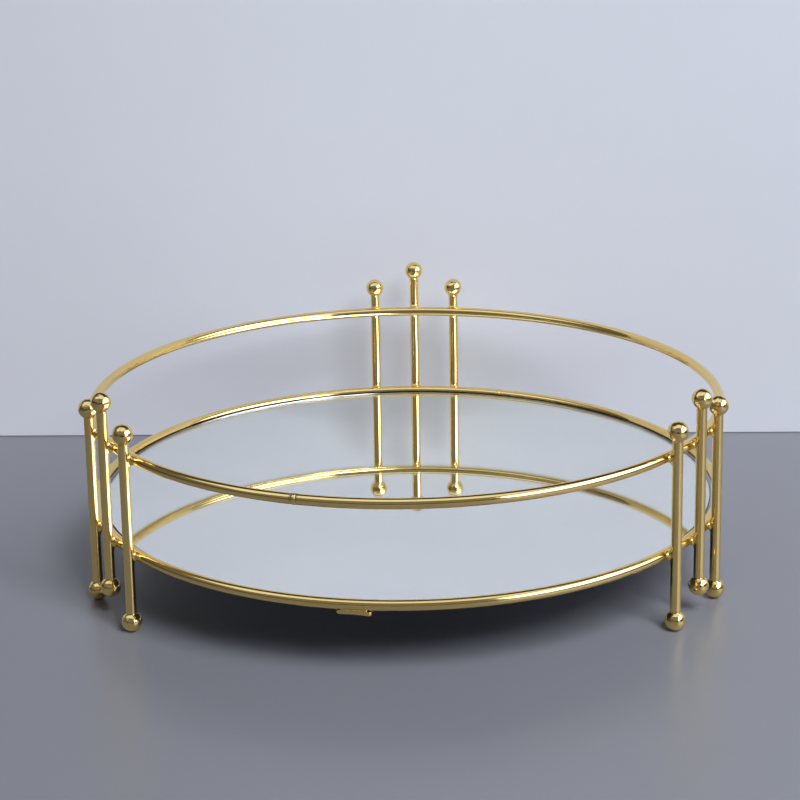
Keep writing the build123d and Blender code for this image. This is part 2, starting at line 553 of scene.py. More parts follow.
def plating_group(name):
    """Polished gold plating: patches of thinner and hazier metal, deeper gold at
    the joints, fine lines from drawing and buffing, a faint ripple, a few pits,
    and painted shade, nearly black, where a piece asks for it.
    """
    tree, given, result = new_group(
        name,
        {
            "Gold": "colour", "Shade": "colour", "Deep": "colour", "Joint": "value",
            "Tarnish": "value", "Lines": "vector", "Polish": "value", "Haze": "value",
            "Line depth": "value", "Ripple": "value", "Ripple scale": "value",
        },
        {"Colour": "colour", "Roughness": "value", "Normal": "vector"},
    )
    place = object_place(tree)
    patches = spread(tree, clouds(tree, place, 55.0, 4.0), 0.40, 0.68)
    mottle = spread(tree, clouds(tree, place, 900.0, 2.0), 0.45, 0.75)
    shade = add_share(tree, patches, 0.35, times(tree, mottle, 0.12))
    colour = blend_colours(tree, shade, given["Gold"], given["Shade"])
    runs = spread(tree, clouds(tree, place, 420.0, 3.0), 0.30, 0.62, 0.45, 1.0)
    warm = times(tree, given["Joint"], runs, clamp=True)
    colour = blend_colours(tree, warm, colour, given["Deep"])

    rare = spread(tree, clouds(tree, place, 130.0, 2.0), 0.58, 0.66)
    pit = times(tree, spread(tree, cells(tree, place, 700.0), 0.16, 0.05), rare)
    colour = blend_colours(tree, times(tree, pit, 0.6), colour, (0.30, 0.19, 0.07, 1))
    # painted shade: nearly black where a piece asks for it, in the groove beside a butt weld
    colour = blend_colours(tree, given["Tarnish"], colour, (0.07, 0.045, 0.02, 1))

    lines = clouds(tree, stretched(tree, given["Lines"], (1, 1, 0.02)), 5200.0, 4.0, 0.7)
    cloudy = spread(tree, clouds(tree, place, 38.0, 5.0, 0.62), 0.42, 0.72)
    haze = times(tree, cloudy, given["Haze"])
    fine = times(tree, spread(tree, lines, 0.35, 0.7), times(tree, given["Line depth"], 0.06))
    rough = calculate(tree, "ADD", given["Polish"], calculate(tree, "ADD", haze, fine))
    rough = add_share(tree, warm, 0.06, rough)
    rough = add_share(tree, given["Tarnish"], 0.35, rough)
    rough = add_share(tree, pit, 0.3, rough, clamp=True)

    ripple = times(tree, clouds(tree, place, given["Ripple scale"], 1.0), given["Ripple"])
    height = add_share(tree, lines, times(tree, given["Line depth"], 0.012), ripple)
    height = add_share(tree, pit, -0.10, height)
    fill(tree, result, {
        "Colour": colour, "Roughness": rough, "Normal": bumps(tree, height, 0.00012)})
    return tree


def speck_group(name):
    """Fine dust and speckle: a mask of small scattered grains, and the slow
    clouds that they gather in.
    """
    tree, given, result = new_group(
        name, {"Scale": "value", "Size": "value", "Patch scale": "value"},
        {"Mask": "value", "Clouds": "value"})
    place = object_place(tree)
    size = given["Size"]
    dots = spread(tree, cells(tree, place, given["Scale"]), size, times(tree, size, 0.5))
    patches = clouds(tree, place, given["Patch scale"], 4.0)
    mask = times(tree, dots, spread(tree, patches, 0.45, 0.6))
    fill(tree, result, {"Mask": mask, "Clouds": patches})
    return tree


def place_specks(tree, scale, size, patch_scale):
    """The mask and the clouds of a material's specks."""
    values = {"Scale": scale, "Size": size, "Patch scale": patch_scale}
    specks = place_group(tree, "Specks", speck_group, values)
    return specks["Mask"], specks["Clouds"]


def new_material(name):
    """A material with an empty tree, its Principled shader and its output."""
    material = bpy.data.materials.new(name)
    material.use_nodes = True
    tree = material.node_tree
    tree.nodes.clear()
    shader = tree.nodes.new("ShaderNodeBsdfPrincipled")
    output = put(tree, "ShaderNodeOutputMaterial", {"Surface": shader.outputs[0]})
    return material, tree, shader, output


def gold_material(name, haze, line_depth, ripple, joint_share, ripple_scale=260.0, shade=0.0):
    """Gold plating on one kind of piece."""
    if name in bpy.data.materials:
        return bpy.data.materials[name]
    finish = bpy.context.scene.tray_finish
    material, tree, shader, _ = new_material(name)
    gold = np.array(finish.gold) * (1 - shade) + np.array(finish.gold_deep) * shade
    plating = place_group(tree, "Gold plating", plating_group, {
        "Gold": rgba(gold),
        "Shade": rgba(finish.gold_shade),
        "Deep": rgba(finish.gold_deep),
        "Joint": times(tree, attribute(tree, "joint_warmth"), joint_share),
        # painted shade in the groove beside a ring's butt weld
        "Tarnish": attribute(tree, "groove_tarnish"),
        "Lines": attribute(tree, "wire_lines", "Vector"),
        "Polish": finish.polish,
        "Haze": haze,
        "Line depth": line_depth,
        "Ripple": ripple,
        "Ripple scale": ripple_scale,
    })
    fill(tree, shader, {
        "Base Color": plating["Colour"], "Roughness": plating["Roughness"],
        "Normal": plating["Normal"], "Metallic": 1.0})
    return material


def wire_gold():
    """Drawn, buffed and plated wire."""
    return gold_material("Plated wire", haze=0.05, line_depth=0.6, ripple=0.22, joint_share=0.2)


def ball_gold():
    """Plated balls, a little rippled under the plating."""
    return gold_material("Plated ball", haze=0.04, line_depth=0.0, ripple=1.3, joint_share=0.15,
                         ripple_scale=820.0)


def weld_gold():
    """Plating over braze and weld metal: a little deeper in colour and hazier."""
    return gold_material(
        "Plated weld", haze=0.22, line_depth=0.0, ripple=0.12, joint_share=0.2, shade=0.05)


def tab_gold():
    """Plated flat strip."""
    return gold_material("Plated strip", haze=0.10, line_depth=0.4, ripple=0.5, joint_share=0.5)


def glass_material():
    """Clear float glass, faintly green through its thickness, with a few smears."""
    finish = bpy.context.scene.tray_finish
    material, tree, shader, output = new_material("Clear glass")
    mask, cloudy = place_specks(tree, 420.0, 0.05, 14.0)
    smear = spread(tree, cloudy, 0.56, 0.74, 0.0, 0.012)
    fill(tree, shader, {
        "Base Color": rgba(finish.glass), "Transmission Weight": 1.0, "IOR": 1.52,
        "Roughness": add_share(tree, mask, 0.10, smear)})
    inside = put(tree, "ShaderNodeVolumeAbsorption", {
        "Color": rgba(finish.glass_green), "Density": 9.0})
    fill(tree, output, {"Volume": inside.outputs[0]})
    return material


def silver_material():
    """Bright silver behind the glass, with the faint mottle of a wet deposit."""
    silver = bpy.context.scene.tray_finish.silver
    material, tree, shader, _ = new_material("Mirror silver")
    mask, cloudy = place_specks(tree, 260.0, 0.04, 9.0)
    dull = spread(tree, cloudy, 0.4, 0.7)
    colour = blend_colours(tree, dull, rgba(silver), rgba(silver, 0.96))
    colour = blend_colours(tree, times(tree, mask, 0.35), colour, (0.5, 0.5, 0.5, 1))
    fill(tree, shader, {"Base Color": colour, "Metallic": 1.0, "Roughness": 0.0})
    return material


def paint_material():
    """Grey backing paint: curtain-coated, satin, with grains and faint streaks."""
    paint = bpy.context.scene.tray_finish.paint
    material, tree, shader, _ = new_material("Backing paint")
    mask, cloudy = place_specks(tree, 1400.0, 0.22, 60.0)
    drawn = stretched(tree, object_place(tree), (1, 0.04, 1))
    streaks = spread(tree, clouds(tree, drawn, 160.0, 3.0), 0.35, 0.7)
    colour = blend_colours(tree, streaks, rgba(paint), rgba(paint, 1.18))
    mottled = spread(tree, cloudy, 0.35, 0.7, 0.0, 0.5)
    colour = blend_colours(tree, mottled, colour, rgba(paint, 0.82))
    colour = blend_colours(tree, times(tree, mask, 0.5), colour, rgba(paint, 1.9))
    fill(tree, shader, {
        "Base Color": colour,
        "Roughness": spread(tree, cloudy, 0.3, 0.7, 0.36, 0.52),
        "Normal": bumps(tree, add_share(tree, streaks, 0.4, mask), 0.00006, 0.5)})
    return material


def glue_material():
    """Cured clear silicone, cloudy and slightly wavy."""
    glue = bpy.context.scene.tray_finish.glue
    material, tree, shader, _ = new_material("Clear glue")
    cloudy = spread(tree, clouds(tree, object_place(tree), 500.0, 3.0), 0.35, 0.7)
    fill(tree, shader, {
        "Base Color": blend_colours(tree, cloudy, rgba(glue), rgba(glue, 0.9)),
        "Roughness": spread(tree, cloudy, 0, 1, 0.18, 0.34),
        "Subsurface Weight": 0.4,
        "Subsurface Radius": (MM, MM, MM),
        "Normal": bumps(tree, cloudy, 0.0001, 0.6)})
    return material


def plain_material(name, tone, roughness, shine, glow=0.0):
    """A plain surface of the set, with a trace of unevenness."""
    material, tree, shader, _ = new_material(name)
    uneven = spread(tree, clouds(tree, object_place(tree), 6.0, 4.0), 0.3, 0.7)
    fill(tree, shader, {
        "Base Color": blend_colours(tree, uneven, rgba(tone), rgba(tone, 0.965)),
        "Roughness": roughness,
        "Specular IOR Level": shine,
        "Emission Color": rgba(np.array(tone) / max(tone)),
        "Emission Strength": glow})
    return material


# ------------------------------------------------------------ pieces
class TRAY_OT_wire_rings(bpy.types.Operator):
    """Make the two wire rings, each open where its butt weld closes it"""

    bl_idname = "tray.wire_rings"
    bl_label = "Wire rings"

    def execute(self, context):
        shape = context.scene.tray_shape
        seams = [middle_of(f"{name}_ring_seam_weld") for name in RING_HEIGHTS]
        joints = np.vstack([crossings(), seams])
        rounding = np.linspace(0, 1, 9) ** 2 * shape.end_round / RING_RADIUS
        for name, height in RING_HEIGHTS.items():
            half_gap = seam_width(name) / 2 / RING_RADIUS
            sweep = 2 * math.pi - 2 * half_gap
            steps = np.linspace(0, 1, shape.ring_steps)
            inner = rounding[-1] + steps * (sweep - 2 * rounding[-1])
            along = np.concatenate([rounding[:-1], inner, sweep - rounding[:-1][::-1]])
            from_end = np.minimum(along, sweep - along) * RING_RADIUS
            angles = capped(angle_of(f"{name}_ring_seam_weld") + half_gap + along)
            radii = capped(self.end_radii(from_end, shape), 0)
            grid = ring_wire_grid(angles, radii, height, shape.wire_sides)
            lines = lines_along(RING_WIRE / 2, RING_RADIUS * angles, shape.wire_sides)
            values = {
                "joint_warmth": warmth(grid, joints, CROSSING_HEAT),
                # painted shade in the groove at the wire's ends, beside the butt weld
                "groove_tarnish": SEAM_PAINTED_SHADE[name] * self.painted_groove_shade(from_end, shape)[:, ::-1],
                "wire_lines": lines[:, ::-1],
            }
            piece = surface(f"{name}_ring_finished", grid, values=values)
            finish_piece(piece, wire_gold(), "plated_wire", f"{name}_ring")
        return {"FINISHED"}

    @staticmethod
    def painted_groove_shade(from_end, shape):
        """Painted shade in the groove beside the weld: full at the wire's ends, gone
        two roundings further in, and only on the upper side.
        """
        nearest = capped(from_end) / (2 * shape.end_round)
        return np.clip(1 - nearest, 0, 1)[:, None] * upper_side(shape.wire_sides)

    @staticmethod
    def end_radii(from_end, shape):
        """The wire's radius along the ring: full, and at each end it falls by the
        groove's depth as a quarter circle over the rounding's length.
        """
        inside = np.clip(1 - from_end / shape.end_round, 0, 1)
        return RING_WIRE / 2 - shape.groove * (1 - np.sqrt(1 - inside**2))


class TRAY_OT_ring_seams(bpy.types.Operator):
    """Make the butt welds that close the wire rings"""

    bl_idname = "tray.ring_seams"
    bl_label = "Ring seams"

    def execute(self, context):
        shape = context.scene.tray_shape
        across = np.linspace(-1, 1, 25)
        radii = RING_WIRE / 2 + shape.seam_proud - shape.groove * np.abs(across) ** 5
        # painted shade in the grooves at both edges of the weld, on the upper side
        dark = capped(np.abs(across) ** 6)[:, None] * upper_side(shape.wire_sides)
        for name, height in RING_HEIGHTS.items():
            node = f"{name}_ring_seam_weld"
            angles = angle_of(node) + across * (seam_width(name) / 2) / RING_RADIUS
            grid = ring_wire_grid(capped(angles), capped(radii, 0), height, shape.wire_sides)
            values = {
                "joint_warmth": np.full(grid.shape[:2], SEAM_WARMTH),
                "groove_tarnish": SEAM_PAINTED_SHADE[name] * dark[:, ::-1],
            }
            piece = surface(f"{node}_finished", grid, values=values)
            finish_piece(piece, weld_gold(), "plated_weld", node)
        return {"FINISHED"}


class TRAY_OT_rods(bpy.types.Operator):
    """Make the upright rods"""

    bl_idname = "tray.rods"
    bl_label = "Upright rods"

    def execute(self, context):
        shape = context.scene.tray_shape
        joints = crossings()
        for rod in RODS:
            low, high = low_and_high(f"{rod}_rod")
            x, y = rod_axis(rod)
            heights = capped(np.linspace(low[2], high[2], 160))
            radii = np.full(len(heights), ROD_WIRE / 2)
            radii[[0, -1]] = 0
            grid = turned(radii, heights, (x, y, 0), shape.wire_sides)
            ends = np.array([(x, y, low[2]), (x, y, high[2])])
            values = {
                "joint_warmth": np.maximum(
                    warmth(grid, joints, CROSSING_HEAT), warmth(grid, ends, ROD_END_HEAT)),
                "wire_lines": lines_along(ROD_WIRE / 2, heights, shape.wire_sides),
            }
            piece = surface(f"{rod}_rod_finished", grid, values=values)
            finish_piece(piece, wire_gold(), "plated_wire", f"{rod}_rod")
        return {"FINISHED"}


class TRAY_OT_balls(bpy.types.Operator):
    """Make the balls at the ends of the rods, each with a flat for the rod"""

    bl_idname = "tray.balls"
    bl_label = "Balls"

    def execute(self, context):
        shape = context.scene.tray_shape
        chance = np.random.default_rng(13)
        for rod in RODS:
            for end, rod_way in ROD_ENDS:
                node = f"{rod}_{end}_ball"
                centre = ball_centre(rod, end, rod_way)
                grid = self.ball(centre, rod_way, shape)
                grid = self.dented(grid, centre, rod_way, shape, chance)
                seat = centre + [0, 0, rod_way * BALL_SEAT]
                values = {"joint_warmth": warmth(grid, seat[None], BALL_SEAT_HEAT)}
                piece = surface(f"{node}_finished", grid, values=values)
                finish_piece(piece, ball_gold(), "plated_ball", node)
        return {"FINISHED"}

    @staticmethod
    def ball(centre, rod_way, shape):
        """A sphere from its free pole to the latitude where its circle is as wide
        as the rod, then straight in to the axis.
        """
        seat = math.asin(BALL_SEAT / BALL_RADIUS)
        latitude = np.linspace(-QUARTER, seat, shape.ball_sides // 2)
        radii = np.concatenate([BALL_RADIUS * np.cos(latitude), [0]])
        radii[0] = 0
        heights = np.concatenate([BALL_RADIUS * np.sin(latitude), [BALL_RADIUS * math.sin(seat)]])
        grid = turned(radii, rod_way * heights, centre, shape.ball_sides)
        return grid if rod_way > 0 else grid[:, ::-1]

    @staticmethod
    def dented(grid, centre, rod_way, shape, chance):
        """The ball with shallow dents: each lowers the surface towards the centre
        by a bell curve of the distance from the dent's middle.  The dents fade
        out before the flat that takes the rod.
        """
        fade = 0.15
        middles = chance.normal(size=(shape.dents, 3))
        middles /= np.linalg.norm(middles, axis=1)[:, None]
        depths = chance.uniform(0.2, 1.0, shape.dents) ** 2 * shape.dent_depth
        way = (grid - centre) / BALL_RADIUS
        bells = np.exp(-2 * np.clip(1 - way @ middles.T, 0, None) / shape.dent_width**2)
        clear = np.clip((BALL_SEAT / BALL_RADIUS - rod_way * way[..., 2]) / fade, 0, 1)
        return grid - (bells @ depths * clear)[..., None] * way


class TRAY_OT_ball_collars(bpy.types.Operator):
    """Make the thin collars of braze between rods and balls"""

    bl_idname = "tray.ball_collars"
    bl_label = "Ball collars"

    def execute(self, context):
        shape = context.scene.tray_shape
        chance = np.random.default_rng(7)
        for group, places in GROUPS.items():
            for end, rod_way in ROD_ENDS:
                grids = [
                    self.collar(f"{group}_{place}", end, rod_way, shape, chance)
                    for place in places
                ]
                weld_piece(f"{group}_{end}_ball_collars", grids, closed_rows=True, poles=False)
        return {"FINISHED"}

    @staticmethod
    def collar(rod, end, rod_way, shape, chance):
        """A hollow fillet around the rod: its section is a quarter of a squeezed
        circle from the ball, a little outside the rod, up to the rod's side.

        Both reaches swell and shrink slowly around the rod.
        """
        x, y, z = ball_centre(rod, end, rod_way)
        turn = around(48)
        phase = chance.uniform(0, 2 * math.pi, 3)
        wave = 1 + 0.18 * np.sin(turn + phase[0]) + 0.10 * np.sin(2 * turn + phase[1])
        wave = wave + 0.06 * np.sin(3 * turn + phase[2])
        inside = ROD_WIRE / 2 - shape.braze_sunk
        outer = ROD_WIRE / 2 + shape.collar_spread * wave
        on_ball = np.sqrt(BALL_RADIUS**2 - outer**2) - shape.braze_sunk
        top = BALL_SEAT + shape.collar_rise * wave
        step = np.linspace(0, QUARTER, 9)[:, None]
        radii = outer - (outer - inside) * np.sin(step)
        heights = top - (top - on_ball) * np.cos(step)
        # one more circle, inside the rod, closes the section
        radii = np.vstack([radii, np.full((1, len(turn)), inside * 0.7)])
        heights = np.vstack([heights, heights[:1].min() + 0 * turn[None]])
        grid = np.stack([
            x + radii * np.cos(turn), y + radii * np.sin(turn), z + rod_way * heights], axis=-1)
        return grid if rod_way > 0 else grid[:, ::-1]


class TRAY_OT_ring_braze(bpy.types.Operator):
    """Make the braze fillets where the rods cross the rings"""

    bl_idname = "tray.ring_braze"
    bl_label = "Ring braze"

    def execute(self, context):
        shape = context.scene.tray_shape
        chance = np.random.default_rng(11)
        for group, places in GROUPS.items():
            for ring, height in RING_HEIGHTS.items():
                grids = [self.fillet(f"{group}_{place}", height, shape, chance) for place in places]
                weld_piece(f"{group}_{ring}_ring_braze", grids)
        return {"FINISHED"}

    @staticmethod
    def fillet(rod, height, shape, chance):
        """Braze between two crossed wires.

        For every direction a around the place where they cross, one foot of the
        fillet lies on the ring at (reach cos a) along it and (wrap sin a) around
        its section, and the other lies on the rod at (reach sin a) along it and
        (wrap cos a) around it.  A cubic curve joins the two feet.  It leaves each
        wire along the wire's own surface, so the fillet is hollow.  Both ends
        then close to a point inside their wire.
        """
        lean = 0.62  # how far out on each wire the cubic's inner points lie
        x, y = rod_axis(rod)
        bearing, rod_circle = math.atan2(y, x), math.hypot(x, y)
        out, side = axes_at(bearing)
        up = np.array([0, 0, 1.0])
        turn = around(64)
        phase = chance.uniform(0, 2 * math.pi, 4)
        size = chance.uniform(0.9, 1.12)
        ring_wave, rod_wave = (
            size * (1 + 0.08 * np.sin(turn + first) + 0.07 * np.sin(waves * turn + second))
            for first, waves, second in ((phase[0], 2, phase[1]), (phase[2], 3, phase[3])))

        def on_ring(share):
            """A point of the ring's surface, this share of the way to its foot."""
            along = share * shape.braze_along * ring_wave * np.cos(turn)
            wrap = share * shape.braze_around * np.sin(turn)
            wire = RING_WIRE / 2 - shape.braze_sunk
            angle = bearing + along / RING_RADIUS
            away = RING_RADIUS + wire * np.cos(wrap)
            return np.stack(
                [away * np.cos(angle), away * np.sin(angle), height + wire * np.sin(wrap)], -1)

        def on_rod(share):
            """A point of the rod's surface, this share of the way to its foot."""
            along = share * shape.braze_along * rod_wave * np.sin(turn)
            wrap = share * shape.braze_around * np.cos(turn)
            wire = ROD_WIRE / 2 - shape.braze_sunk
            return (
                rod_circle * out
                - wire * np.cos(wrap)[:, None] * out
                + wire * np.sin(wrap)[:, None] * side
                + (height + along)[:, None] * up
            )

        step = np.linspace(0, 1, 17)[:, None, None]
        curve = (
            (1 - step) ** 3 * on_ring(1.0)
            + 3 * (1 - step) ** 2 * step * on_ring(lean)
            + 3 * (1 - step) * step**2 * on_rod(lean)
            + step**3 * on_rod(1.0)
        )
        in_ring, in_rod = (
            np.broadcast_to(away * out + height * up, (1, len(turn), 3))
            for away in (RING_RADIUS, rod_circle))
        return np.vstack([in_ring, curve, in_rod])


class TRAY_OT_mirror(bpy.types.Operator):
    """Make the mirror: ground glass plate, silver and backing paint"""

    bl_idname = "tray.mirror"
    bl_label = "Mirror"

    def execute(self, context):
        radius = (GLASS_HIGH[0] - GLASS_LOW[0]) / 2
        low, high = GLASS_LOW[2], GLASS_HIGH[2]
        edge = context.scene.tray_shape.glass_round
        step = np.linspace(0, QUARTER, 7)
        radii = radius - edge + edge * np.sin(step)
        lower = low + edge - edge * np.cos(step)
        upper = high + low - lower[::-1]
        plate = self.plate("mirror_glass_finished", [0, *radii, *radii[::-1], 0],
                           [low, *lower, *upper, high])
        self.flatten_faces(plate.data)
        finish_piece(plate, glass_material(), "mirror_plate", "mirror_glass")

        radius = (BACKING_HIGH[0] - BACKING_LOW[0]) / 2
        low, split = BACKING_LOW[2], BACKING_HIGH[2]
        top = split + SILVER_THICKNESS
        split = top - SILVER_THICKNESS
        silver = self.plate(
            "mirror_silver_finished", [0, radius, radius, 0], [split, split, top, top], True)
        silver.data.materials.append(silver_material())
        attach(silver, BODY)

        paint = self.plate(
            "mirror_paint_finished", [0, radius - PAINT_EDGE, radius, radius, 0],
            [low, low, low + PAINT_EDGE, split, split], True)
        finish_piece(paint, paint_material(), "mirror_paint", "mirror_backing")
        return {"FINISHED"}

    @staticmethod
    def plate(name, radii, heights, flat=False):
        """A round plate: the profile turned around the tray's axis."""
        grid = turned(np.array(radii), np.array(heights), (0, 0, 0), PLATE_SIDES)
        return surface(name, grid, flat=flat)

    @staticmethod
    def flatten_faces(mesh):
        """Turns smoothing off on the plate's two flat faces."""
        normals = np.empty(len(mesh.polygons) * 3, np.float32)
        mesh.polygons.foreach_get("normal", normals)
        level = np.abs(normals.reshape(-1, 3)[:, 2]) > 0.9999
        mesh.polygons.foreach_set("use_smooth", ~level)


class TRAY_OT_mirror_tabs(bpy.types.Operator):
    """Make the flat tabs that carry the mirror"""

    bl_idname = "tray.mirror_tabs"
    bl_label = "Mirror tabs"

    def execute(self, context):
        shape = context.scene.tray_shape
        chance = np.random.default_rng(3)
        for tab in TABS:
            node = f"{tab}_mirror_tab"
            grid = self.strip(node, angle_of(node), shape, chance)
            welds = middle_of(f"{tab}_tab_welds")
            values = {
                "joint_warmth": warmth(grid, welds[None], TAB_HEAT),
                "wire_lines": grid * np.array([1.0, 1.0, 20.0]),
            }
            piece = surface(f"{node}_finished", grid, values=values)
            finish_piece(piece, tab_gold(), "plated_wire", node)
        return {"FINISHED"}

    @staticmethod
    def strip(node, angle, shape, chance):
        """A flat strip with rounded corners and worn edges.

        Its outline is a rounded rectangle.  The section through the edge is a
        rounded rectangle too: the outline pulls in towards the strip's middle as
        the height nears the top or the bottom face.  One corner is bent down by
        a smooth step across the strip's width.
        """
        half = tab_size(node, angle) / 2
        turn = around(96)
        # a circle pushed out to a rounded rectangle: corner centre plus corner circle
        towards = np.stack([np.cos(turn), np.sin(turn)], -1)
        outline = np.sign(towards) * np.maximum(half - TAB_CORNER, 0) + TAB_CORNER * towards
        away = np.linalg.norm(outline, axis=1)[None]
        step = np.linspace(0, QUARTER, 6)
        rim, thick = shape.tab_round, TAB_THICKNESS / 2
        inset = rim * (1 - np.sin(step))
        inset = np.concatenate([inset, inset[::-1]])
        rise = rim * (1 - np.cos(step))
        # the bottom face from its middle out, the edge upwards, the top face back in
        shares = np.concatenate([
            np.outer([0, 0.35, 0.7], 1 + 0 * turn), (away - inset[:, None]) / away,
            np.outer([0.7, 0.35, 0], 1 + 0 * turn)])
        levels = np.concatenate([
            np.full(3, -thick), -thick + rise, thick - rise[::-1], np.full(3, thick)])
        flat = outline[None] * shares[..., None]
        height = levels[:, None] + 0 * turn
        across = flat[..., 1] / half[1]
        outward = np.clip(flat[..., 0] / half[0] * 0.5 + 0.5, 0, 1)
        bend = np.clip((across - 0.35) / 0.5, 0, 1)
        bend = bend**2 * (3 - 2 * bend)
        height = height - shape.tab_bend * chance.uniform(0.7, 1.1) * bend * outward
        return laid_at(node, angle, flat, height)


class TRAY_OT_tab_welds(bpy.types.Operator):
    """Make the welds between the tabs and the lower ring"""

    bl_idname = "tray.tab_welds"
    bl_label = "Tab welds"

    def execute(self, context):
        shape = context.scene.tray_shape
        chance = np.random.default_rng(5)
        for tab in TABS:
            angle = angle_of(f"{tab}_mirror_tab")
            weld_piece(f"{tab}_tab_welds", [
                self.bead(angle, side, shape, chance) for side in (1, -1)])
        return {"FINISHED"}

    @staticmethod
    def bead(angle, side, shape, chance):
        """A weld bead along the corner under the ring: a tube whose radius fades
        to nothing at both ends and swells at every puddle.
        """
        along = np.linspace(-1, 1, 61)
        puddles = 0.85 + 0.15 * np.cos(along * math.pi * 5 + chance.uniform(0, 6))
        radii = shape.bead_radius * np.sqrt(np.clip(1 - along**6, 0, 1)) * puddles
        radii[[0, -1]] = 0
        from_ring, above_tab = 1.15 * MM, 0.1 * MM
        return ring_wire_grid(
            angle + along * shape.bead_reach / RING_RADIUS, radii,
            RING_HEIGHTS["lower"] - RING_WIRE / 2 + above_tab, 20,
            RING_RADIUS + side * from_ring, squeeze=0.75)


class TRAY_OT_glue_pads(bpy.types.Operator):
    """Make the pads of clear glue between the tabs and the mirror"""

    bl_idname = "tray.glue_pads"
    bl_label = "Glue pads"

    def execute(self, context):
        shape = context.scene.tray_shape
        chance = np.random.default_rng(9)
        material = glue_material()
        for tab in TABS:
            node = f"{tab}_glue_pad"
            angle = angle_of(f"{tab}_mirror_tab")
            piece = surface(f"{node}_finished", self.pad(node, angle, shape, chance))
            finish_piece(piece, material, "clear_glue", node)
        return {"FINISHED"}

    @staticmethod
    def pad(node, angle, shape, chance):
        """A squeezed drop: its outline is a superellipse with slow waves, and its
        edge bulges out as a half circle between the two faces.
        """
        squareness = 3.2
        low, high = low_and_high(node)
        turn = around(72)
        phase = chance.uniform(0, 2 * math.pi, 2)
        wave = 1 + 0.06 * np.sin(2 * turn + phase[0]) + 0.04 * np.sin(5 * turn + phase[1])
        c, s = np.cos(turn), np.sin(turn)
        stretch = (np.abs(c) ** squareness + np.abs(s) ** squareness) ** (-1 / squareness)
        outline = np.stack([c * shape.pad_length, s * shape.pad_width], -1)
        outline = outline * (stretch * wave)[:, None]
        bulge = np.linspace(-QUARTER, QUARTER, 7)
        shares = np.concatenate([[0, 0.6], 0.98 + 0.02 * np.cos(bulge), [0.6, 0]])
        levels = np.concatenate([[-1, -1], np.sin(bulge), [1, 1]]) * (high[2] - low[2]) / 2
        flat = outline[None] * shares[:, None, None]
        return laid_at(node, angle, flat, levels[:, None] + 0 * turn)


# ------------------------------------------------------------ the set
# where each soft lamp stands, the point that it faces, and its two sides
LAMPS = {
    "top_lamp": ((-0.3, -0.36, 1.1), (-0.3, -0.36, 0), (2.5, 1.04)),
    "side_lamp": ((0.8, -0.55, 0.6), (0, -0.55, 0.6), (1.5, 0.9)),
    "key_lamp": ((0.6, -1.02, 1.15), (0.15, -0.5, 0), (0.9, 0.9)),
}
LAMP_RIM = 0.16            # share of a lamp's side over which its light fades
FLOOR_SIZE = 8
BACKDROP_SIZE = (1.6, 0.28)
BACKDROP_FOOT = 0.5 * MM   # above the floor


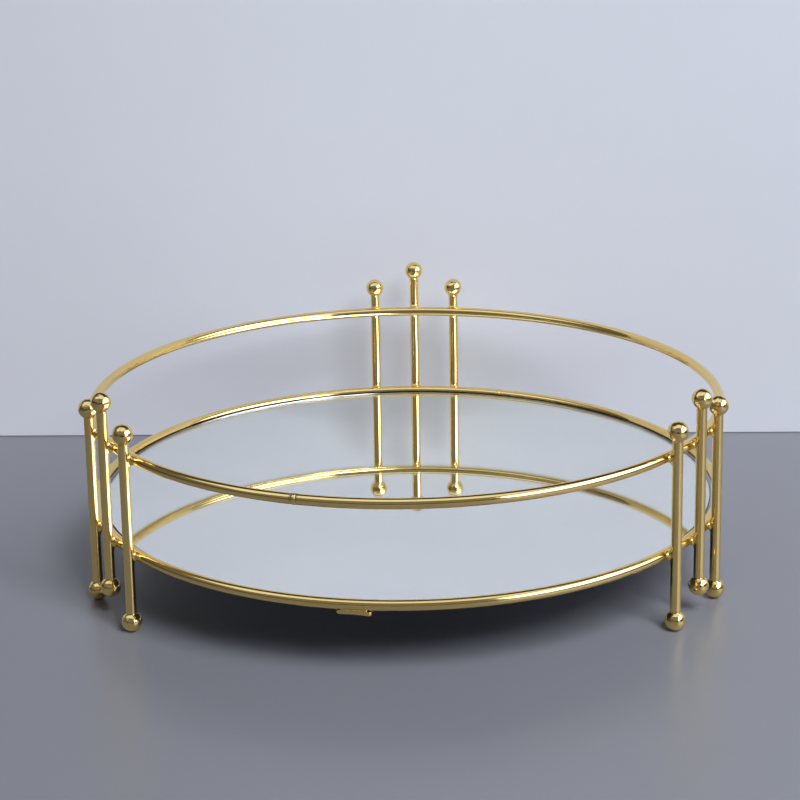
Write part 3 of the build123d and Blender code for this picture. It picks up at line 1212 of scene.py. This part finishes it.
class TRAY_OT_studio(bpy.types.Operator):
    """Make the floor, the backdrop, the soft lamps, the room and the camera"""

    bl_idname = "tray.studio"
    bl_label = "Studio"

    def execute(self, context):
        studio = context.scene.tray_studio
        floor = plain_material("Plain floor", studio.floor, 0.34, 0.5)
        self.flat_board("floor", (-FLOOR_SIZE / 2, -FLOOR_SIZE / 2, 0),
                        (FLOOR_SIZE, 0, 0), (0, FLOOR_SIZE, 0), floor)
        wall = plain_material("Plain backdrop", studio.wall, 0.8, 0.2, studio.wall_glow)
        self.hide_back(wall)
        wide, high = BACKDROP_SIZE
        behind = float(cad_high[1]) + studio.wall_gap
        self.flat_board("backdrop", (-wide / 2, behind, BACKDROP_FOOT),
                        (wide, 0, 0), (0, 0, high), wall)
        for name, (place, target, size) in LAMPS.items():
            # the key lamp lights matt surfaces, and the others are seen in polished ones
            key = name == "key_lamp"
            lamp_colour = studio.lamp_colour if key else studio.glint_colour
            lamp = self.lamp(name, place, target, size, getattr(studio, name), lamp_colour)
            lamp.visible_diffuse, lamp.visible_glossy = key, not key
        self.room(context.scene, studio.room)
        self.camera(context.scene, studio)
        context.scene.view_settings.view_transform = "Standard"
        return {"FINISHED"}

    @staticmethod
    def flat_board(name, corner, along, up, material):
        """A flat board from a corner and two sides."""
        corner, along, up = (np.array(v, float) for v in (corner, along, up))
        mesh = bpy.data.meshes.new(name)
        points = [corner, corner + along, corner + along + up, corner + up]
        mesh.from_pydata([tuple(p) for p in points], [], [(0, 1, 2, 3)])
        board = bpy.data.objects.new(name, mesh)
        board.data.materials.append(material)
        bpy.context.scene.collection.objects.link(board)

    @staticmethod
    def hide_back(material):
        """Lets the board be seen only from its face."""
        tree = material.node_tree
        shader = next(n for n in tree.nodes if n.type == "BSDF_PRINCIPLED")
        output = next(n for n in tree.nodes if n.type == "OUTPUT_MATERIAL")
        back = put(tree, "ShaderNodeNewGeometry").outputs["Backfacing"]
        clear = put(tree, "ShaderNodeBsdfTransparent").outputs[0]
        mix = put(tree, "ShaderNodeMixShader", {0: back, 1: shader.outputs[0], 2: clear})
        fill(tree, output, {"Surface": mix.outputs[0]})

    @staticmethod
    def lamp(name, place, target, size, watts, tone):
        """A soft rectangular lamp aimed at a point, dimmer towards its edges."""
        data = bpy.data.lights.new(name, "AREA")
        data.shape = "RECTANGLE"
        data.size, data.size_y = size
        data.energy = watts
        data.color = tone
        data.use_nodes = True
        tree = data.node_tree
        across = put(tree, "ShaderNodeNewGeometry").outputs["Parametric"]
        split = put(tree, "ShaderNodeSeparateXYZ", {0: across}).outputs
        inside = [
            spread(tree, calculate(tree, "PINGPONG", split[axis], 0.5), 0, LAMP_RIM)
            for axis in "XY"
        ]
        fill(tree, tree.nodes["Emission"], {"Strength": times(tree, *inside)})
        lamp = bpy.data.objects.new(name, data)
        bpy.context.scene.collection.objects.link(lamp)
        way = Vector(target) - Vector(place)
        lamp.location = place
        lamp.rotation_euler = way.to_track_quat("-Z", "Y").to_euler()
        return lamp

    @staticmethod
    def room(scene, strength):
        """A dim room: mid grey in front, darker behind, near the floor and high
        above, and dimmer still for matt surfaces.
        """
        world = bpy.data.worlds.new("Room")
        world.use_nodes = True
        tree = world.node_tree
        tree.nodes.clear()
        way = put(tree, "ShaderNodeTexCoord").outputs["Generated"]
        split = put(tree, "ShaderNodeSeparateXYZ", {0: way}).outputs
        front = spread(tree, split["Y"], 0.3, -0.7, 0.13, 0.22)
        rise = spread(tree, split["Z"], 0.12, 0.22, 0.25, 1.0)
        high = spread(tree, split["Z"], 0.6, 0.8, 1.0, 0.4)
        matt = put(tree, "ShaderNodeLightPath").outputs["Is Diffuse Ray"]
        share = spread(tree, matt, 0, 1, strength, strength / 12)
        level = times(tree, times(tree, times(tree, front, rise), high), share)
        grey = {"Strength": level, "Color": (0.96, 0.97, 1.03, 1)}
        background = put(tree, "ShaderNodeBackground", grey)
        put(tree, "ShaderNodeOutputWorld", {0: background.outputs[0]})
        scene.world = world

    @staticmethod
    def camera(scene, studio):
        """The camera: turned left, pointed down and rolled about its own axis."""
        data = bpy.data.cameras.new("camera")
        data.sensor_width = 36
        data.lens = studio.camera_lens
        data.shift_y = studio.camera_shift
        camera = bpy.data.objects.new("camera", data)
        scene.collection.objects.link(camera)
        camera.location = studio.camera_place
        level = Matrix.Rotation(studio.camera_left, 3, "Z")
        level = level @ Matrix.Rotation(QUARTER - studio.camera_down, 3, "X")
        camera.rotation_euler = (level @ Matrix.Rotation(-studio.camera_roll, 3, "Z")).to_euler()
        scene.camera = camera


# ------------------------------------------------------------ panel and registration
OPERATORS = (
    TRAY_OT_studio,
    TRAY_OT_wire_rings,
    TRAY_OT_ring_seams,
    TRAY_OT_rods,
    TRAY_OT_balls,
    TRAY_OT_ball_collars,
    TRAY_OT_ring_braze,
    TRAY_OT_mirror,
    TRAY_OT_mirror_tabs,
    TRAY_OT_tab_welds,
    TRAY_OT_glue_pads,
)


class TRAY_PT_panel(bpy.types.Panel):
    """Buttons and sizes of the vanity tray"""

    bl_idname = "TRAY_PT_panel"
    bl_label = "Vanity tray"
    bl_space_type = "VIEW_3D"
    bl_region_type = "UI"
    bl_category = "Vanity tray"

    def draw(self, context):
        for operator in OPERATORS:
            self.layout.operator(operator.bl_idname)
        for settings in ("tray_shape", "tray_finish", "tray_studio"):
            group = getattr(context.scene, settings)
            box = self.layout.box()
            for name in group.bl_rna.properties.keys():
                if name not in ("rna_type", "name"):
                    box.prop(group, name)


CLASSES = (TrayShape, TrayFinish, TrayStudio, *OPERATORS, TRAY_PT_panel)


def register():
    for item in CLASSES:
        bpy.utils.register_class(item)
    bpy.types.Scene.tray_shape = PointerProperty(type=TrayShape)
    bpy.types.Scene.tray_finish = PointerProperty(type=TrayFinish)
    bpy.types.Scene.tray_studio = PointerProperty(type=TrayStudio)


def unregister():
    del bpy.types.Scene.tray_studio
    del bpy.types.Scene.tray_finish
    del bpy.types.Scene.tray_shape
    for item in reversed(CLASSES):
        bpy.utils.unregister_class(item)


def main():
    """Makes every piece of the tray and the set."""
    register()
    for operator in OPERATORS:
        group, name = operator.bl_idname.split(".")
        getattr(getattr(bpy.ops, group), name)()


if __name__ == "__main__":
    main()
